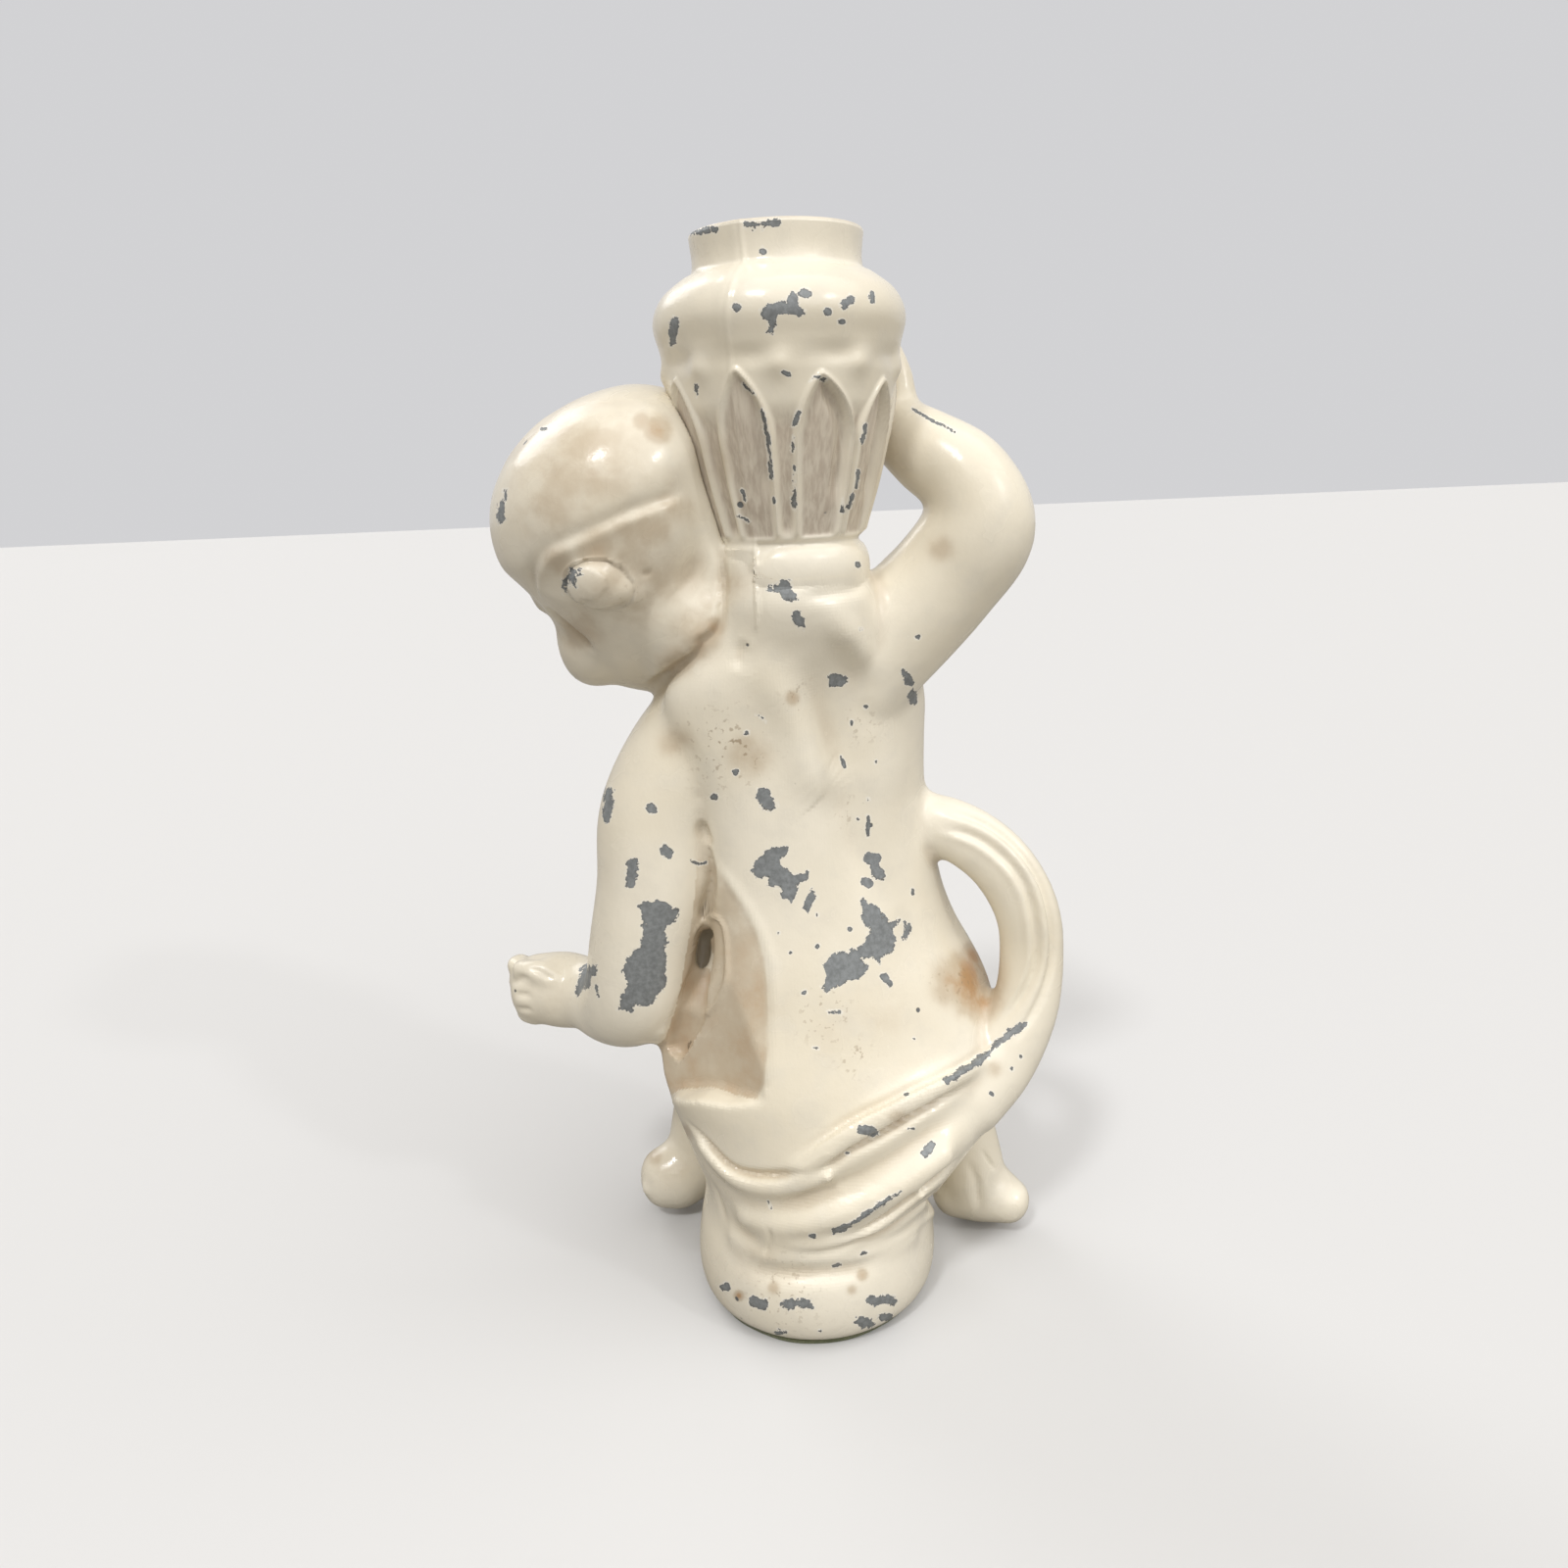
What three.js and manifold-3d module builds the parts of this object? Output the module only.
// Hollow cast cherub that carries a leaf fluted urn on its shoulders
// Millimetres, Z up. The back of the figure faces -Y and its left side is -X.
// The tie rod runs up the urn's axis, and the origin is at the rod's foot, on the table.

import * as THREE from "three";
import { mergeVertices } from "three/addons/utils/BufferGeometryUtils.js";
import Module from "manifold-3d";

const wasm = await Module();
wasm.setup();

// Castings and their fits
const CAST_WALL = 4;
const JOINT_GAP = 0.3;
const SEAM_AZIMUTH = 26;

// Axis that the urn, the tie rod and the base share
const AXIS_X = 3.5;
const AXIS_Y = 0;

// Stack from the table up
const FELT_THICK = 1.5;
const FELT_RADIUS = 30.6;
const BASE_RADIUS = 31.2;
const RECESS_DEPTH = 10.5;
const RECESS_RADIUS = 26.5;
const FLANGE_THICK = 6;
const FLANGE_BORE_RADIUS = 23;
const SEAT_HEIGHT = 204;
const SEAT_RADIUS = 19.6;
const SEAT_THICK = 6;
const WAIST_HEIGHT = 98;
const SHOULDER_LEVEL = SEAT_HEIGHT - 23;

// Urn, heights from its foot up
const FOOT_HEIGHT = 15;
const FOOT_RADIUS = 20.2;
const FOOT_FLOOR = 8;
const BOWL_HEIGHT = 38;
const BOWL_LOW_RADIUS = 19.4;
const BOWL_TOP_RADIUS = 28.4;
const SHOULDER_HEIGHT = 24;
const SHOULDER_RADIUS = 30.8;
const COLLAR_HEIGHT = 9;
const COLLAR_RADIUS = 20.8;
const COLLAR_BORE_RADIUS = 17;
const LEAF_COUNT = 9;
const LEAF_FIRST_AZIMUTH = -22;
const LEAF_HALF_ANGLE = 14;
const LEAF_LIP = 1.1;
const LEAF_HOLLOW = 1.2;
const VALLEY_DEPTH = 1.3;
const NECK_BEAD = 1.4;

// Tie rod, a threaded lamp pipe, with its nuts and washers
const ROD_RADIUS = 5;
const ROD_BORE_RADIUS = 2.8;
const ROD_CLEARANCE = 0.4;
const ROD_STICK_OUT = 2;
const NUT_FLATS = 15;
const NUT_THICK = 5;
const WASHER_RADIUS = 11;
const WASHER_THICK = 1.6;
const PLATE_THICK = 3;

// Dowel pins that hold the loose castings
const PIN_RADIUS = 2;
const PIN_LENGTH = 20;
const PIN_CLEARANCE = 0.3;

// Facets
const TRUNK_SIDES = 30;
const TRUNK_STEP = 7;
const HOLLOW_SIDES = 16;
const HOLLOW_STEP = 20;
const LIMB_SIDES = 11;
const HEAD_SIDES = 20;
const HEAD_SLICES = 13;
const BALL_SIDES = 7;
const TOE_SIDES = 6;
const FINGER_SIDES = 6;
const LOOP_SIDES = 18;
const PIN_SIDES = 8;
const ROUND_SIDES = 24;

// Reach of the cutting blocks, well past the figure
const FAR = 600;

const DEG = Math.PI / 180;
const v3 = (x, y, z) => new THREE.Vector3(x, y, z);
const SIDEWAYS = v3(0, 1, 0);
const lerp = THREE.MathUtils.lerp;
const CAP_TURN = 52 * DEG;
const bump = (distance, width) => Math.exp(-((distance / width) ** 2));
const rise = (value, from, to) => THREE.MathUtils.smoothstep(value, from, to);

// Solids

function solidOf(geometry) {
  const bare = geometry.index ? geometry.clone() : geometry;
  bare.deleteAttribute("normal");
  bare.deleteAttribute("uv");
  const merged = mergeVertices(bare, 1e-4);
  const vertProperties = new Float32Array(merged.attributes.position.array);
  const triVerts = new Uint32Array(merged.index.array);
  return new wasm.Manifold(new wasm.Mesh({ numProp: 3, vertProperties, triVerts }));
}

// The cuts can leave crumbs beside a casting, so its one real body is kept
function geometryOf(solid) {
  const bodies = solid.decompose();
  const mesh = bodies.reduce((best, one) => (one.volume() > best.volume() ? one : best)).getMesh();
  const geometry = new THREE.BufferGeometry();
  geometry.setAttribute("position", new THREE.BufferAttribute(mesh.vertProperties, 3));
  geometry.setIndex(new THREE.BufferAttribute(mesh.triVerts, 1));
  return geometry;
}

// A closed skin over a stack of rings that run anticlockwise seen from the last ring back to the first
function skin(rings) {
  const sides = rings[0].length;
  const points = rings.flat();
  const middle = (ring) => ring.reduce((sum, p) => sum.add(p), v3(0, 0, 0)).divideScalar(sides);
  points.push(middle(rings[0]), middle(rings[rings.length - 1]));
  const first = points.length - 2;
  const last = points.length - 1;
  const faces = [];
  for (let k = 0; k < sides; k++) {
    const next = (k + 1) % sides;
    faces.push(first, next, k);
    for (let r = 0; r < rings.length - 1; r++) {
      const low = r * sides;
      const high = low + sides;
      faces.push(low + k, low + next, high + next);
      faces.push(low + k, high + next, high + k);
    }
    const top = (rings.length - 1) * sides;
    faces.push(top + k, top + next, last);
  }
  const geometry = new THREE.BufferGeometry();
  geometry.setAttribute("position", new THREE.Float32BufferAttribute(points.flatMap((p) => p.toArray()), 3));
  geometry.setIndex(faces);
  return geometry;
}

// Smooth value of one column of a table of stations, whose first column is the key
function along(stations, key, column) {
  let i = 0;
  while (i < stations.length - 2 && key > stations[i + 1][0]) i++;
  const [a, b] = [stations[i], stations[i + 1]];
  const before = stations[Math.max(i - 1, 0)];
  const after = stations[Math.min(i + 2, stations.length - 1)];
  const span = b[0] - a[0];
  const t = THREE.MathUtils.clamp((key - a[0]) / span, 0, 1);
  const slopeA = ((b[column] - before[column]) / (b[0] - before[0])) * span;
  const slopeB = ((after[column] - a[column]) / (after[0] - a[0])) * span;
  const t2 = t * t;
  const t3 = t2 * t;
  return (2 * t3 - 3 * t2 + 1) * a[column] + (t3 - 2 * t2 + t) * slopeA
    + (3 * t2 - 2 * t3) * b[column] + (t3 - t2) * slopeB;
}

// A limb: stations of x, y, z, half width and half depth along a smooth path, with domed ends
const LIMB = { sides: LIMB_SIDES, steps: 2, up: v3(0, 0, 1), relief: () => 0, grow: 0 };

function limb(stations, options = {}) {
  const { sides, steps, up, relief, grow } = { ...LIMB, ...options };
  const table = stations.map((station, i) => [i, ...station]);
  const lastKey = stations.length - 1;
  const at = (key) => v3(along(table, key, 1), along(table, key, 2), along(table, key, 3));
  const rings = [];
  const addRing = (key, shrink, shift) => {
    const tangent = at(Math.min(key + 0.05, lastKey)).sub(at(Math.max(key - 0.05, 0))).normalize();
    const side = v3(0, 0, 0).crossVectors(up, tangent).normalize();
    const depth = v3(0, 0, 0).crossVectors(tangent, side);
    const wide = along(table, key, 4) + grow;
    const deep = along(table, key, 5) + grow;
    const centre = at(key).addScaledVector(tangent, shift * Math.min(wide, deep));
    const ring = [];
    for (let k = 0; k < sides; k++) {
      const angle = (k / sides) * 2 * Math.PI;
      const raised = shrink * relief(angle, key / lastKey);
      ring.push(centre.clone()
        .addScaledVector(side, Math.cos(angle) * (wide * shrink + raised))
        .addScaledVector(depth, Math.sin(angle) * (deep * shrink + raised)));
    }
    rings.push(ring);
  };
  addRing(0, Math.cos(CAP_TURN), -Math.sin(CAP_TURN));
  const count = lastKey * steps;
  for (let i = 0; i <= count; i++) addRing(i / steps, 1, 0);
  addRing(lastKey, Math.cos(CAP_TURN), Math.sin(CAP_TURN));
  return solidOf(skin(rings));
}

// A round bar from one point to another
function bar(from, to, radius, sides = ROUND_SIDES) {
  const length = from.distanceTo(to);
  const turn = new THREE.Quaternion().setFromUnitVectors(v3(0, 1, 0), to.clone().sub(from).normalize());
  const geometry = new THREE.CylinderGeometry(radius, radius, length, sides);
  geometry.applyQuaternion(turn);
  const middle = from.clone().lerp(to, 0.5);
  geometry.translate(middle.x, middle.y, middle.z);
  return solidOf(geometry);
}

const upright = (low, high, radius, sides = ROUND_SIDES) =>
  bar(v3(AXIS_X, AXIS_Y, low), v3(AXIS_X, AXIS_Y, high), radius, sides);

function ball(centre, rx, ry, rz, sides = BALL_SIDES) {
  const geometry = new THREE.SphereGeometry(1, sides, Math.round(sides * 0.7));
  geometry.scale(rx, ry, rz);
  geometry.translate(centre.x, centre.y, centre.z);
  return solidOf(geometry);
}

const joined = (solids) => solids.reduce((whole, solid) => whole.add(solid));

// Stations that are given from the shoulders' height, at their real height
const raised = ([x, y, z, ...widths]) => [x, y, z + SHOULDER_LEVEL, ...widths];
const fromShoulders = (stations) => stations.map(raised);

// Stump, hips and trunk in level slices: height, left, right, back and front edge, and the slope of the turn
const torso = (share) => lerp(WAIST_HEIGHT, SEAT_HEIGHT, share);
const TRUNK = [
  [FELT_THICK, AXIS_X - BASE_RADIUS, AXIS_X + BASE_RADIUS, -BASE_RADIUS, BASE_RADIUS, 0],
  [5, -30, 38, -33.8, 34, 0],
  [13, -31, 39.2, -35.2, 35, 0],
  [22, -30, 38.8, -34.2, 35, 0],
  [29, -28.5, 39, -31.6, 34, 0],
  [37, -28, 43, -32.6, 33, 0],
  [46, -30.5, 50, -33.4, 32, 0.02],
  [55, -33, 57, -33.2, 32, 0.05],
  [64, -35.5, 60, -31.5, 32, 0.1],
  [73, -38, 60.5, -29.5, 32, 0.15],
  [82, -37.5, 59.5, -26.5, 33, 0.2],
  [90, -31, 57.5, -23.5, 34, 0.25],
  [WAIST_HEIGHT, -26, 53.8, -21, 34, 0.3],
  [torso(0.08), -23, 49.4, -19, 34, 0.35],
  [torso(0.17), -22, 45.6, -17, 33, 0.35],
  [torso(0.26), -22, 43.3, -15.5, 31, 0.35],
  [torso(0.38), -22, 41, -14.5, 29, 0.35],
  [torso(0.49), -23, 40, -14, 28, 0.35],
  [torso(0.6), -26, 40.2, -13.5, 27, 0.35],
  [torso(0.72), -30, 40.4, -13.5, 25, 0.33],
  [torso(0.81), -29, 37.5, -14.5, 22, 0.28],
  [torso(0.89), -22, 32, -16.5, 20, 0.18],
  [torso(0.94), -17, 26, -18.6, 19.6, 0.06],
  [SEAT_HEIGHT, AXIS_X - SEAT_RADIUS, AXIS_X + SEAT_RADIUS, -SEAT_RADIUS, SEAT_RADIUS, 0],
];

// Rolls of cloth that climb over the hips to the right: height at the left, slope, half width and rise
const ROLLS = [
  { start: 54, climb: 0.52, from: -6, width: 5.2, rise: 4 },
  { start: 43, climb: 0.6, from: 4, width: 4.4, rise: 3 },
  { start: 31, climb: 0.62, from: 8, width: 4.2, rise: 2.6 },
];

function clothRelief(x, y, z) {
  const behind = rise(-y, -8, 12);
  let relief = 0;
  for (const roll of ROLLS) {
    const crest = roll.start + roll.climb * Math.max(x - roll.from, 0);
    const fade = rise(x, roll.from - 30, roll.from + 6) * rise(66 - x, 0, 14);
    relief += roll.rise * bump(z - crest, roll.width) * fade * behind;
  }
  return relief;
}

// Spine groove between the shoulder blades and down to the waist
function spineRelief(x, y, z) {
  const behind = rise(-y, -6, 4);
  const nape = SEAT_HEIGHT - 8;
  const spineX = lerp(10, 26, rise(nape - 6 - z, 0, 90));
  const reach = rise(z, 84, 110) * rise(nape - z, 0, 14);
  const bladeLevel = SHOULDER_LEVEL - 9;
  const blades = bump(z - bladeLevel, 20) * (bump(x - spineX + 17, 10) + 0.8 * bump(x - spineX - 13, 9));
  return behind * (1.8 * blades - 2.2 * reach * bump(x - spineX, 6));
}

// Half of all space, on the outer side of a plane
function beyond(spot, normal) {
  const box = new THREE.BoxGeometry(FAR, FAR, FAR);
  box.translate(0, 0, FAR / 2);
  box.applyQuaternion(new THREE.Quaternion().setFromUnitVectors(v3(0, 0, 1), normal));
  box.translate(spot.x, spot.y, spot.z);
  return solidOf(box);
}

// Hollow of the left flank, under the arm: a slanting plane behind a sharp ridge, down to the top of the
// hip. The ridge is given as x and height, and the space can be made deeper on all sides.
const HIP_SHELF = 75;
const FLANK_DEPTH = 3;
const FLANK_TOP = [-20.4, -15, 140];
const FLANK_NORMAL = v3(-0.63, -0.775, -0.034).normalize();
const FLANK_RIDGE = [[-7.6, 80], [-6.7, 90], [-6.7, 100], [-8, 112], [-11, 122], [-16, 132]];

function flankSpace(deeper) {
  const shape = new THREE.Shape();
  shape.moveTo(-FAR, HIP_SHELF - deeper);
  shape.lineTo(FLANK_RIDGE[0][0] + deeper, HIP_SHELF - deeper);
  for (const [x, z] of FLANK_RIDGE) shape.lineTo(x + deeper, z);
  shape.lineTo(FLANK_TOP[0] + deeper, FLANK_TOP[2] + deeper);
  shape.lineTo(-FAR, FLANK_TOP[2] + deeper);
  const slab = new THREE.ExtrudeGeometry(shape, { depth: 2 * FAR, bevelEnabled: false });
  slab.rotateX(Math.PI / 2);
  slab.translate(0, FAR, 0);
  const spot = v3(...FLANK_TOP).addScaledVector(FLANK_NORMAL, -FLANK_DEPTH - deeper);
  return solidOf(slab).intersect(beyond(spot, FLANK_NORMAL));
}

const OUTSIDE = {
  grow: 0, low: FELT_THICK, high: SEAT_HEIGHT, step: TRUNK_STEP, sides: TRUNK_SIDES, detail: true,
};

function trunk(options = {}) {
  const { grow, low, high, step, sides, detail } = { ...OUTSIDE, ...options };
  const reliefs = [clothRelief, spineRelief];
  const rings = [];
  const count = Math.round((high - low) / step);
  for (let i = 0; i <= count; i++) {
    const z = lerp(low, high, i / count);
    const [left, right, back, front, slope] = [1, 2, 3, 4, 5].map((column) => along(TRUNK, z, column));
    const middle = v3((left + right) / 2, (back + front) / 2, z);
    const ring = [];
    for (let k = 0; k < sides; k++) {
      const angle = (k / sides) * 2 * Math.PI;
      const out = v3(Math.cos(angle), Math.sin(angle), 0);
      const x = out.x * ((right - left) / 2);
      const y = out.y * ((front - back) / 2) + slope * x;
      const place = v3(middle.x + x, middle.y + y, z);
      const relief = detail ? reliefs.reduce((sum, form) => sum + form(place.x, place.y, z), 0) : 0;
      ring.push(place.addScaledVector(out, grow + relief));
    }
    rings.push(ring);
  }
  return solidOf(skin(rings));
}

// Legs, each bent at the knee beside the stump, with a foot turned outwards
const FOOT_LIFT = 1.2;
const RIGHT_LEG = [
  [34, 16, 66, 17, 18], [43, 30, 55, 15, 15.5], [48, 30, 44, 12.5, 13],
  [51, 25, 33, 11, 11], [54, 22, 20, 10.8, 10.5], [54, 22, 13, 10, 10],
];
const RIGHT_FOOT = [
  [49, 24, 11, 9.4, 9], [55, 22, 12, 10.4, 10], [61, 19, 11.6, 9.6, 9], [66, 16, 10.6, 7.2, 7],
];
const LEFT_LEG = [
  [-14, 16, 68, 17, 18], [-21, 32, 56, 15, 15.5], [-26, 39, 44, 12.5, 13],
  [-31, 38, 28, 10.5, 11], [-34, 37, 15, 9.5, 10],
];
const LEFT_FOOT = [
  [-31, 40, 10, 8, 8], [-36, 37, 12.5, 10, 10.6], [-41, 34, 13.5, 10.2, 11.6], [-45.5, 32.5, 13.5, 8.6, 10],
];

// Web of metal between the flank and the hanging arm, so that the gap beside the arm is a pocket
const ARM_WEB = [[-27, 15, 122, 5, 5], [-26, 16, 110, 8, 6], [-27, 15, 98, 9, 6.4], [-31, 13, 88, 8, 6]];

function toes(tip, across, reach, size) {
  const list = [];
  for (let i = 0; i < 5; i++) {
    const place = tip.clone().addScaledVector(across, (i - 2) * 1.3 * size);
    place.addScaledVector(reach, 1.4 - 0.14 * i * i);
    const radius = size * (i === 0 ? 1.25 : 1 - 0.05 * i);
    list.push(ball(place, radius, radius, radius * 0.9, TOE_SIDES));
  }
  return list;
}

const RIGHT_TOE = 1.9;
const LEFT_TOE = 2.4;
const floorCut = upright(-FAR, FOOT_LIFT, FAR);

function leg(shin, foot, toeRow) {
  return joined([limb(shin), limb(foot), ...toes(...toeRow)]).subtract(floorCut);
}

const RIGHT_TOES = [v3(70.5, 14, 8.6), v3(0.55, 0.83, 0), v3(0.83, -0.55, 0), RIGHT_TOE];
const LEFT_TOES = [v3(-45.5, 32, 17.5), v3(0.3, 0.5, 0.81), v3(-0.9, -0.3, 0.3), LEFT_TOE];
const rightLeg = leg(RIGHT_LEG, RIGHT_FOOT, RIGHT_TOES);
const leftLeg = leg(LEFT_LEG, LEFT_FOOT, LEFT_TOES);

// Hollow of the trunk, with the flange that the bearing plate pulls against
const recessTop = FELT_THICK + RECESS_DEPTH;
const flangeTop = recessTop + FLANGE_THICK;
const seatUnderside = SEAT_HEIGHT - SEAT_THICK;
const INSIDE = { grow: -CAST_WALL, step: HOLLOW_STEP, sides: HOLLOW_SIDES, detail: false };
const hollow = joined([
  upright(0, recessTop, RECESS_RADIUS),
  upright(recessTop - 1, flangeTop + 1, FLANGE_BORE_RADIUS),
  trunk({ ...INSIDE, low: flangeTop, high: seatUnderside }).subtract(flankSpace(CAST_WALL)),
  upright(seatUnderside - 1, SEAT_HEIGHT + 1, ROD_RADIUS + ROD_CLEARANCE),
]);

// Space that the loose castings leave clear
const clearWeb = limb(ARM_WEB, { grow: JOINT_GAP });
const clearTrunk = trunk({ grow: JOINT_GAP }).subtract(flankSpace(-JOINT_GAP));
const trunkSpace = joined([clearTrunk, rightLeg, leftLeg, clearWeb]);
const urnSpace = urnTurned(JOINT_GAP + LEAF_LIP + 0.2);

// Urn
function urnProfile() {
  const foot = SEAT_HEIGHT;
  const bowl = foot + FOOT_HEIGHT;
  const shoulder = bowl + BOWL_HEIGHT;
  const collar = shoulder + SHOULDER_HEIGHT;
  return { foot, bowl, shoulder, collar, rim: collar + COLLAR_HEIGHT };
}

// Radius of the urn without its leaves at a height, as stations of height and radius
function urnStations() {
  const { foot, bowl, shoulder, collar, rim } = urnProfile();
  return [
    [foot, SEAT_RADIUS],
    [foot + FOOT_HEIGHT * 0.2, FOOT_RADIUS],
    [foot + FOOT_HEIGHT * 0.7, FOOT_RADIUS],
    [foot + FOOT_HEIGHT * 0.92, FOOT_RADIUS - NECK_BEAD],
    [bowl + 1, BOWL_LOW_RADIUS],
    [bowl + BOWL_HEIGHT * 0.35, lerp(BOWL_LOW_RADIUS, BOWL_TOP_RADIUS, 0.42)],
    [bowl + BOWL_HEIGHT * 0.75, lerp(BOWL_LOW_RADIUS, BOWL_TOP_RADIUS, 0.82)],
    [shoulder, BOWL_TOP_RADIUS],
    [shoulder + SHOULDER_HEIGHT * 0.22, BOWL_TOP_RADIUS + 0.4],
    [shoulder + SHOULDER_HEIGHT * 0.55, SHOULDER_RADIUS],
    [shoulder + SHOULDER_HEIGHT * 0.78, SHOULDER_RADIUS - 2.2],
    [shoulder + SHOULDER_HEIGHT * 0.95, lerp(SHOULDER_RADIUS, COLLAR_RADIUS, 0.7)],
    [collar + 0.6, COLLAR_RADIUS],
    [rim, COLLAR_RADIUS + 0.2],
  ];
}

function urnTurned(grow) {
  const stations = urnStations();
  const low = stations[0][0];
  const high = stations[stations.length - 1][0];
  const rings = [];
  for (let i = 0; i <= 16; i++) {
    const z = lerp(low - grow, high + grow, i / 16);
    const radius = along(stations, THREE.MathUtils.clamp(z, low, high), 1) + grow;
    const ring = [];
    for (let k = 0; k < ROUND_SIDES; k++) {
      const angle = (k / ROUND_SIDES) * 2 * Math.PI;
      ring.push(v3(AXIS_X + radius * Math.cos(angle), AXIS_Y + radius * Math.sin(angle), z));
    }
    rings.push(ring);
  }
  return solidOf(skin(rings));
}

// Half angle of a leaf at a height up the bowl, from 0 at its root to 1 at its tip
function leafHalf(t) {
  const towardsTip = Math.max((t - 0.45) / 0.55, 0);
  return LEAF_HALF_ANGLE * Math.sqrt(Math.max(1 - towardsTip ** 2, 0.004));
}

// Each leaf has eight columns of points that run along its lips, its hollow face and the valley beside it
function leafColumns(t, inLeaves) {
  const half = leafHalf(t);
  const pitch = 360 / LEAF_COUNT;
  const lip = inLeaves * LEAF_LIP;
  const face = -inLeaves * LEAF_HOLLOW;
  const valley = -inLeaves * VALLEY_DEPTH;
  const follow = [
    [-pitch / 2, valley], [-half - 2, valley * 0.8], [-half, lip], [-half * 0.72, face * 0.6],
    [0, face], [half * 0.72, face * 0.6], [half, lip], [half + 2, valley * 0.8],
  ];
  return follow.map(([angle, out], k) => [lerp((k - 4) * (pitch / 8), angle, inLeaves), out]);
}

function urnOutside() {
  const { foot, bowl, shoulder, collar } = urnProfile();
  const stations = urnStations();
  const rows = (low, height, shares) => shares.map((share) => low + height * share);
  const heights = [
    ...rows(foot, FOOT_HEIGHT, [0, 0.15, 0.45, 0.75, 0.92]),
    ...rows(bowl, BOWL_HEIGHT, [0.01, 0.08, 0.27, 0.48, 0.66, 0.8, 0.9, 0.97]),
    ...rows(shoulder, SHOULDER_HEIGHT, [0.04, 0.24, 0.42, 0.58, 0.74, 0.88]),
    ...rows(collar, COLLAR_HEIGHT, [0.08, 1]),
  ];
  const rings = heights.map((z) => {
    const t = (z - bowl) / BOWL_HEIGHT;
    const inLeaves = rise(t, 0, 0.1) * rise(1.04 - t, 0, 0.1);
    const ring = [];
    for (let leaf = 0; leaf < LEAF_COUNT; leaf++) {
      for (const [angle, out] of leafColumns(t, inLeaves)) {
        const turn = (LEAF_FIRST_AZIMUTH - 90 + leaf * (360 / LEAF_COUNT) + angle) * DEG;
        const radius = along(stations, z, 1) + out;
        ring.push(v3(AXIS_X + radius * Math.cos(turn), AXIS_Y + radius * Math.sin(turn), z));
      }
    }
    return ring;
  });
  return solidOf(skin(rings));
}

// The bowl is hollow and open at the collar, and its thick foot carries the top nut
function urnHollow() {
  const { foot, bowl, shoulder, collar, rim } = urnProfile();
  const profile = [
    [foot + FOOT_FLOOR, FOOT_RADIUS - CAST_WALL - 1],
    [bowl, BOWL_LOW_RADIUS - CAST_WALL],
    [bowl + BOWL_HEIGHT * 0.5, lerp(BOWL_LOW_RADIUS, BOWL_TOP_RADIUS, 0.56) - CAST_WALL - 1],
    [shoulder, BOWL_TOP_RADIUS - CAST_WALL],
    [shoulder + SHOULDER_HEIGHT * 0.55, SHOULDER_RADIUS - CAST_WALL],
    [shoulder + SHOULDER_HEIGHT * 0.78, SHOULDER_RADIUS - CAST_WALL - 3],
    [collar - 2, COLLAR_BORE_RADIUS],
    [rim + 1, COLLAR_BORE_RADIUS],
  ];
  const points = [[0, profile[0][0]], ...profile.map(([z, r]) => [r, z]), [0, rim + 1]];
  const geometry = new THREE.LatheGeometry(points.map(([r, z]) => new THREE.Vector2(r, z)), ROUND_SIDES);
  geometry.rotateX(Math.PI / 2);
  geometry.translate(AXIS_X, AXIS_Y, 0);
  return solidOf(geometry).add(upright(foot - 1, foot + FOOT_FLOOR + 1, ROD_RADIUS + ROD_CLEARANCE));
}

const urn = urnOutside().subtract(urnHollow());

// Head, bent down over the left shoulder: up to its crown, forward out of its face and left to its ear
const HEAD_CENTRE = v3(-37.5, 8, SEAT_HEIGHT + 17);
const HEAD_FORWARD = v3(-0.62, 0.5, -0.6).normalize();
const HEAD_LEFT = v3(-0.35, -0.87, -0.35).normalize();
const HEAD_UP = v3(0, 0, 0).crossVectors(HEAD_FORWARD, HEAD_LEFT).normalize();
const HAIR_THICK = 1.8;

const inHead = (forward, left, up) => HEAD_CENTRE.clone()
  .addScaledVector(HEAD_FORWARD, forward).addScaledVector(HEAD_LEFT, left).addScaledVector(HEAD_UP, up);

// Slices of the head from chin to crown: height, back and front edge, and half width
const HEAD = [
  [-38, 13, 23, 6], [-34, 4, 29.5, 13], [-26, -8, 34, 20.5], [-16, -22, 34.5, 26.5], [-6, -31, 33, 29],
  [4, -35, 32.5, 30.5], [14, -34, 31, 30], [24, -27, 25.5, 25.5], [31, -16, 17, 17], [35, -5, 7, 6],
];

function headForm(grow, count, sides, detail) {
  const rings = [];
  for (let i = 0; i <= count; i++) {
    const height = lerp(HEAD[0][0] - grow, HEAD[HEAD.length - 1][0] + grow, i / count);
    const key = THREE.MathUtils.clamp(height, HEAD[0][0], HEAD[HEAD.length - 1][0]);
    const [back, front, wide] = [1, 2, 3].map((column) => along(HEAD, key, column));
    const ring = [];
    for (let k = 0; k < sides; k++) {
      const angle = (k / sides) * 2 * Math.PI;
      const forward = Math.cos(angle);
      const hairline = 9 + 0.32 * forward * 30;
      const hair = detail ? HAIR_THICK * rise(height, hairline - 2.5, hairline + 1.5) : 0;
      ring.push(inHead(
        (back + front) / 2 + forward * ((front - back) / 2 + grow + hair),
        Math.sin(angle) * (wide + grow + hair),
        height,
      ));
    }
    rings.push(ring);
  }
  return solidOf(skin(rings));
}

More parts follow.
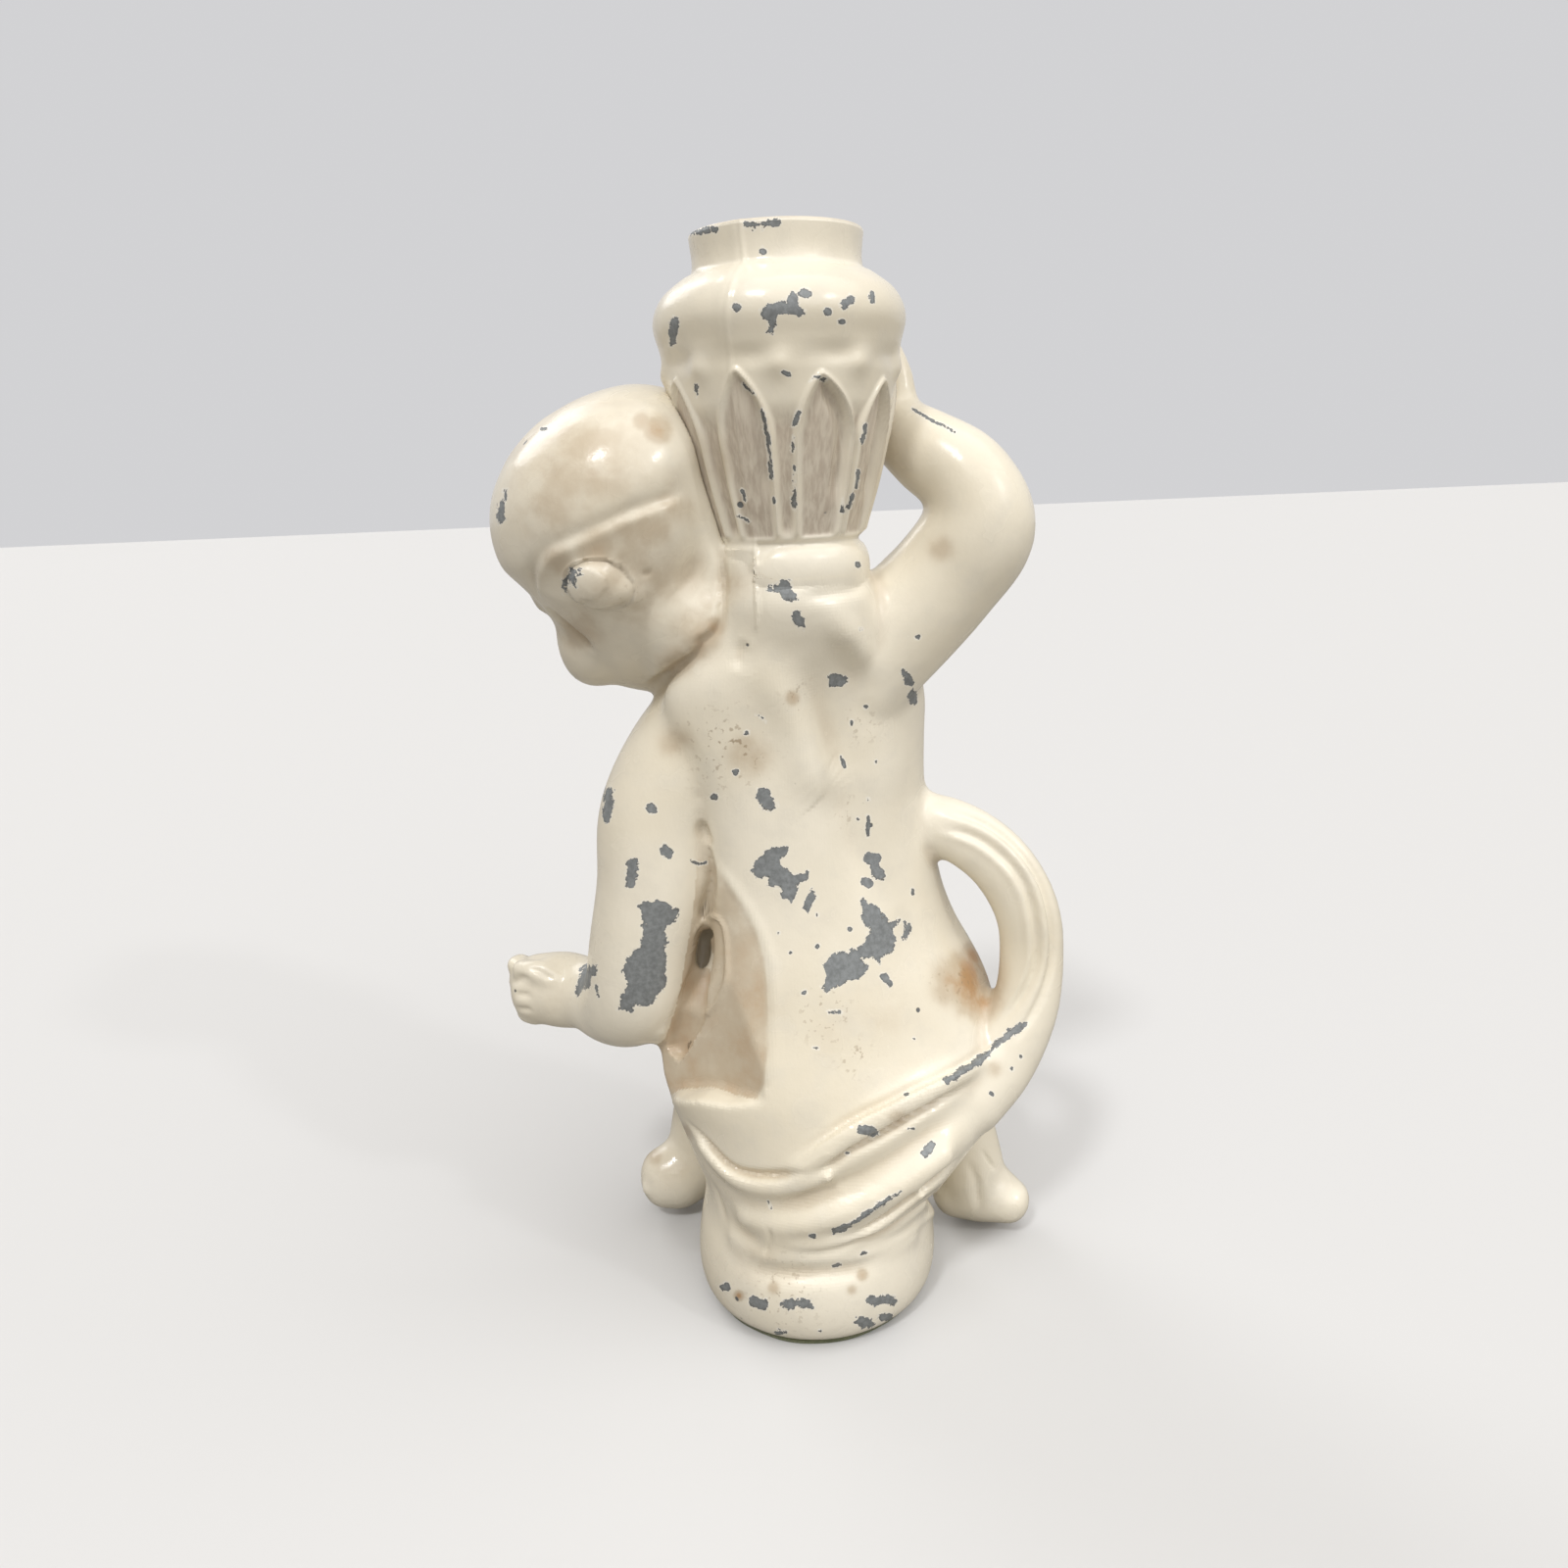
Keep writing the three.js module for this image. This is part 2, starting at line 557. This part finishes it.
const NECK = [
  [-30, 6, SEAT_HEIGHT + 2, 20, 22],
  [-16, 6, SEAT_HEIGHT - 7, 20, 21],
  [-2, 7, SEAT_HEIGHT - 17, 20, 20],
];
const NECK_HOLLOW = [[-36, 8, SEAT_HEIGHT + 8, 12, 12], [-6, 7, SEAT_HEIGHT - 14, 11, 11]];
const NOSE_ROOT = inHead(31, 0, -4);
const NOSE_TIP = inHead(37.5, 0, -13);
const CHEEK_RADIUS = 15.5;
const headSpace = headForm(JOINT_GAP + HAIR_THICK, 10, HEAD_SIDES, false)
  .add(limb(NECK, { up: SIDEWAYS, grow: JOINT_GAP }));

function headCasting() {
  const features = [
    headForm(0, HEAD_SLICES, HEAD_SIDES, true),
    limb([[...NOSE_ROOT.toArray(), 3, 3], [...NOSE_TIP.toArray(), 4, 3.6]], { sides: 8 }),
    ball(inHead(25, 0, -31), 8, 8, 7),
    limb(NECK, { up: SIDEWAYS }),
  ];
  for (const side of [-1, 1]) {
    features.push(ball(inHead(23, 9 * side, -14), CHEEK_RADIUS, CHEEK_RADIUS, CHEEK_RADIUS, 10));
    features.push(ball(inHead(-5, 29.5 * side, -7), 6.5, 5, 7.5));
  }
  const inside = headForm(-CAST_WALL, 7, 12, false).add(limb(NECK_HOLLOW, { up: SIDEWAYS }));
  return joined(features).subtract(inside).subtract(trunkSpace).subtract(urnSpace);
}

// Arms
// Heights of both arms are given from the shoulders
const RIGHT_ARM = fromShoulders([
  [20, 7, 0, 15, 15], [34, 7, 14.5, 15.6, 15], [45, 6, 26, 15, 14.4], [53, 4, 38, 14.8, 14.4],
  [50, 5, 50, 12.2, 12.4], [41, 10, 57.5, 10.8, 10.6], [33, 17, 64, 8.6, 9],
]);
const RIGHT_HAND = fromShoulders([[33, 19, 65, 8, 6.4], [31.5, 21.5, 75, 9, 5.6], [29.5, 23.5, 83, 8, 4.8]]);
const RIGHT_PALM_TURN = v3(0.78, 0.62, 0);
const RIGHT_FINGERS = {
  knuckle: v3(29.5, 23, SHOULDER_LEVEL + 83), across: v3(-0.6, 0.76, 0.25), reach: v3(-2, 1.2, 6),
  bend: v3(-3.4, 1, 3), radius: 2.4,
};
const LEFT_ARM = fromShoulders([
  [-15, 6, -5, 15, 15], [-27, 2, -19, 15.4, 15], [-35, 0, -35, 15.6, 15], [-37, -1, -53, 15.4, 15],
  [-41, -1, -71, 15, 15], [-44, 1, -85.5, 15, 15], [-51, 8, -92, 13.4, 13.4], [-61, 15, -92.5, 10.4, 10.4],
]);
const LEFT_HAND = fromShoulders([
  [-60, 15, -93, 10, 10.4], [-68, 17.5, -92.5, 11.2, 11.4], [-76.5, 18.5, -92, 9.6, 10.4],
]);
const LEFT_FINGERS = {
  knuckle: v3(-78, 17, SHOULDER_LEVEL - 93), across: v3(-0.2, 0.3, 0.93), reach: v3(-4, 1.6, 1),
  bend: v3(1.6, 4.2, -0.4), radius: 2.7,
};
const LEFT_THUMB = fromShoulders([
  [-69, 11, -86.5, 3.6, 3.6], [-75, 12, -84, 3.2, 3.2], [-80, 15.5, -84.5, 2.8, 2.8],
]);

// Fingers lie side by side from a knuckle, each a short bent bar
function fingers({ knuckle, across, reach, bend, radius }) {
  const list = [];
  for (let i = 0; i < 4; i++) {
    const root = knuckle.clone().addScaledVector(across, (i - 1.5) * radius * 1.8);
    const length = 1 - 0.12 * Math.abs(i - 1.4);
    const mid = root.clone().addScaledVector(reach, length);
    const tip = mid.clone().addScaledVector(bend, length);
    const stations = [root, mid, tip].map((p) => [...p.toArray(), radius, radius]);
    list.push(limb(stations, { steps: 1, sides: FINGER_SIDES, up: across }));
  }
  return list;
}

function rightArmCasting() {
  const hand = [limb(RIGHT_HAND, { up: RIGHT_PALM_TURN }), ...fingers(RIGHT_FINGERS)];
  return joined([limb(RIGHT_ARM, { up: SIDEWAYS }), ...hand]).subtract(trunkSpace).subtract(urnSpace);
}

function leftArmCasting() {
  const thumb = limb(LEFT_THUMB, { steps: 1, sides: FINGER_SIDES });
  const hand = [limb(LEFT_HAND), ...fingers(LEFT_FINGERS), thumb];
  return joined([limb(LEFT_ARM, { up: SIDEWAYS }), ...hand]).subtract(trunkSpace).subtract(headSpace);
}

// Free loop of the cloth, a band with two grooves, which leaves the right flank and comes back at the hip
const LOOP = [
  [34, 16, 139, 8.2, 7], [49, 11, 134.5, 9, 7.4], [60, 7, 126, 9.2, 7.6], [67, 5, 113, 9.2, 7.6],
  [68.4, 4, 99, 9.2, 7.8], [66, 1, 84, 9.6, 8.4], [58, -3, 70, 10.6, 9.4], [48, -8, 61, 11, 9.6],
];
const LOOP_GROOVE = 1.5;

function loopCasting() {
  const groove = (angle) => -LOOP_GROOVE * (bump(angle - 215 * DEG, 0.2) + bump(angle - 262 * DEG, 0.2));
  const band = limb(LOOP, { sides: LOOP_SIDES, up: SIDEWAYS, relief: groove });
  return band.subtract(trunkSpace);
}

// Halves of the body meet on the casting seam, an upright plane through the axis
function seamSide(sign) {
  const box = new THREE.BoxGeometry(FAR, 2 * FAR, 2 * FAR);
  box.translate(sign * (FAR / 2 + JOINT_GAP / 2), 0, 0);
  box.rotateZ(-SEAM_AZIMUTH * DEG);
  box.translate(AXIS_X, AXIS_Y, 0);
  return solidOf(box);
}

// Dowels: the wall of the body carries one end and the loose casting the other
const dowel = (inside, outside) => {
  const direction = outside.clone().sub(inside).normalize();
  return { from: inside, to: inside.clone().addScaledVector(direction, PIN_LENGTH) };
};

const DOWELS = {
  head_dowel: dowel(v3(-12, 4, SEAT_HEIGHT - 15), v3(-26, 6, SEAT_HEIGHT - 3)),
  right_arm_dowel: dowel(v3(22, 7, SHOULDER_LEVEL), v3(36, 7, SHOULDER_LEVEL + 15)),
  left_arm_dowel: dowel(v3(-15, 5, SHOULDER_LEVEL - 18), v3(-30, 2, SHOULDER_LEVEL - 26)),
  loop_upper_dowel: dowel(v3(33, 14, 137), v3(52, 10, 133)),
};

const dowelHoles = joined(Object.values(DOWELS).map(({ from, to }) => {
  const direction = to.clone().sub(from).normalize();
  const start = from.clone().addScaledVector(direction, -PIN_CLEARANCE);
  const end = to.clone().addScaledVector(direction, PIN_CLEARANCE);
  return bar(start, end, PIN_RADIUS + PIN_CLEARANCE, PIN_SIDES);
}));

const solidTrunk = trunk().subtract(flankSpace(0));
const body = joined([solidTrunk, rightLeg, leftLeg, limb(ARM_WEB)]).subtract(hollow).subtract(dowelHoles);

// Nuts, washers and the rod that clamps urn and body
function nut(low) {
  const blank = upright(low, low + NUT_THICK, NUT_FLATS / 2 / Math.cos(30 * DEG), 6);
  return blank.subtract(upright(low - 1, low + NUT_THICK + 1, ROD_RADIUS + JOINT_GAP));
}

const disc = (low, thick, radius) =>
  upright(low, low + thick, radius).subtract(upright(low - 1, low + thick + 1, ROD_RADIUS + JOINT_GAP));

const plateLow = recessTop - JOINT_GAP - PLATE_THICK;
const washerLow = SEAT_HEIGHT + JOINT_GAP + FOOT_FLOOR + JOINT_GAP;
const topNutLow = washerLow + WASHER_THICK + JOINT_GAP;
const baseNutLow = plateLow - JOINT_GAP - NUT_THICK;
const rodTop = topNutLow + NUT_THICK + ROD_STICK_OUT;
const rodLow = Math.max(baseNutLow - ROD_STICK_OUT, FELT_THICK + JOINT_GAP);

const rodBore = upright(rodLow - 1, rodTop + 1, ROD_BORE_RADIUS, 16);
const rod = upright(rodLow, rodTop, ROD_RADIUS).subtract(rodBore);

// Materials
const paint = () => new THREE.MeshStandardMaterial({ color: 0xe6dcc6, roughness: 0.38, metalness: 0 });
const steel = () => new THREE.MeshStandardMaterial({ color: 0x8d9094, roughness: 0.45, metalness: 0.9 });
const felt = () => new THREE.MeshStandardMaterial({ color: 0x5c6b3a, roughness: 0.95, metalness: 0 });

const figure = new THREE.Group();

function place(name, solid, material, lift = 0) {
  const mesh = new THREE.Mesh(geometryOf(solid), material);
  mesh.name = name;
  mesh.position.z = lift;
  figure.add(mesh);
}

place("body_left_casting", body.intersect(seamSide(-1)), paint());
place("body_right_casting", body.intersect(seamSide(1)), paint());
place("urn", urn, paint(), JOINT_GAP);
place("head_casting", headCasting().subtract(dowelHoles), paint());
place("right_arm_casting", rightArmCasting().subtract(dowelHoles), paint());
place("left_arm_casting", leftArmCasting().subtract(dowelHoles), paint());
place("drapery_loop_casting", loopCasting().subtract(dowelHoles), paint());
for (const [name, { from, to }] of Object.entries(DOWELS)) {
  place(name, bar(from, to, PIN_RADIUS, PIN_SIDES), steel());
}
place("tie_rod", rod, steel());
place("top_washer", disc(washerLow, WASHER_THICK, WASHER_RADIUS), steel());
place("top_nut", nut(topNutLow), steel());
place("bearing_plate", disc(plateLow, PLATE_THICK, RECESS_RADIUS - JOINT_GAP), steel());
place("base_nut", nut(baseNutLow), steel());
place("felt_pad", upright(0, FELT_THICK, FELT_RADIUS), felt());

// The origin is the foot of the tie rod's axis, on the table
figure.position.set(-AXIS_X, -AXIS_Y, 0);
const object = new THREE.Group();
object.add(figure);

export default object;
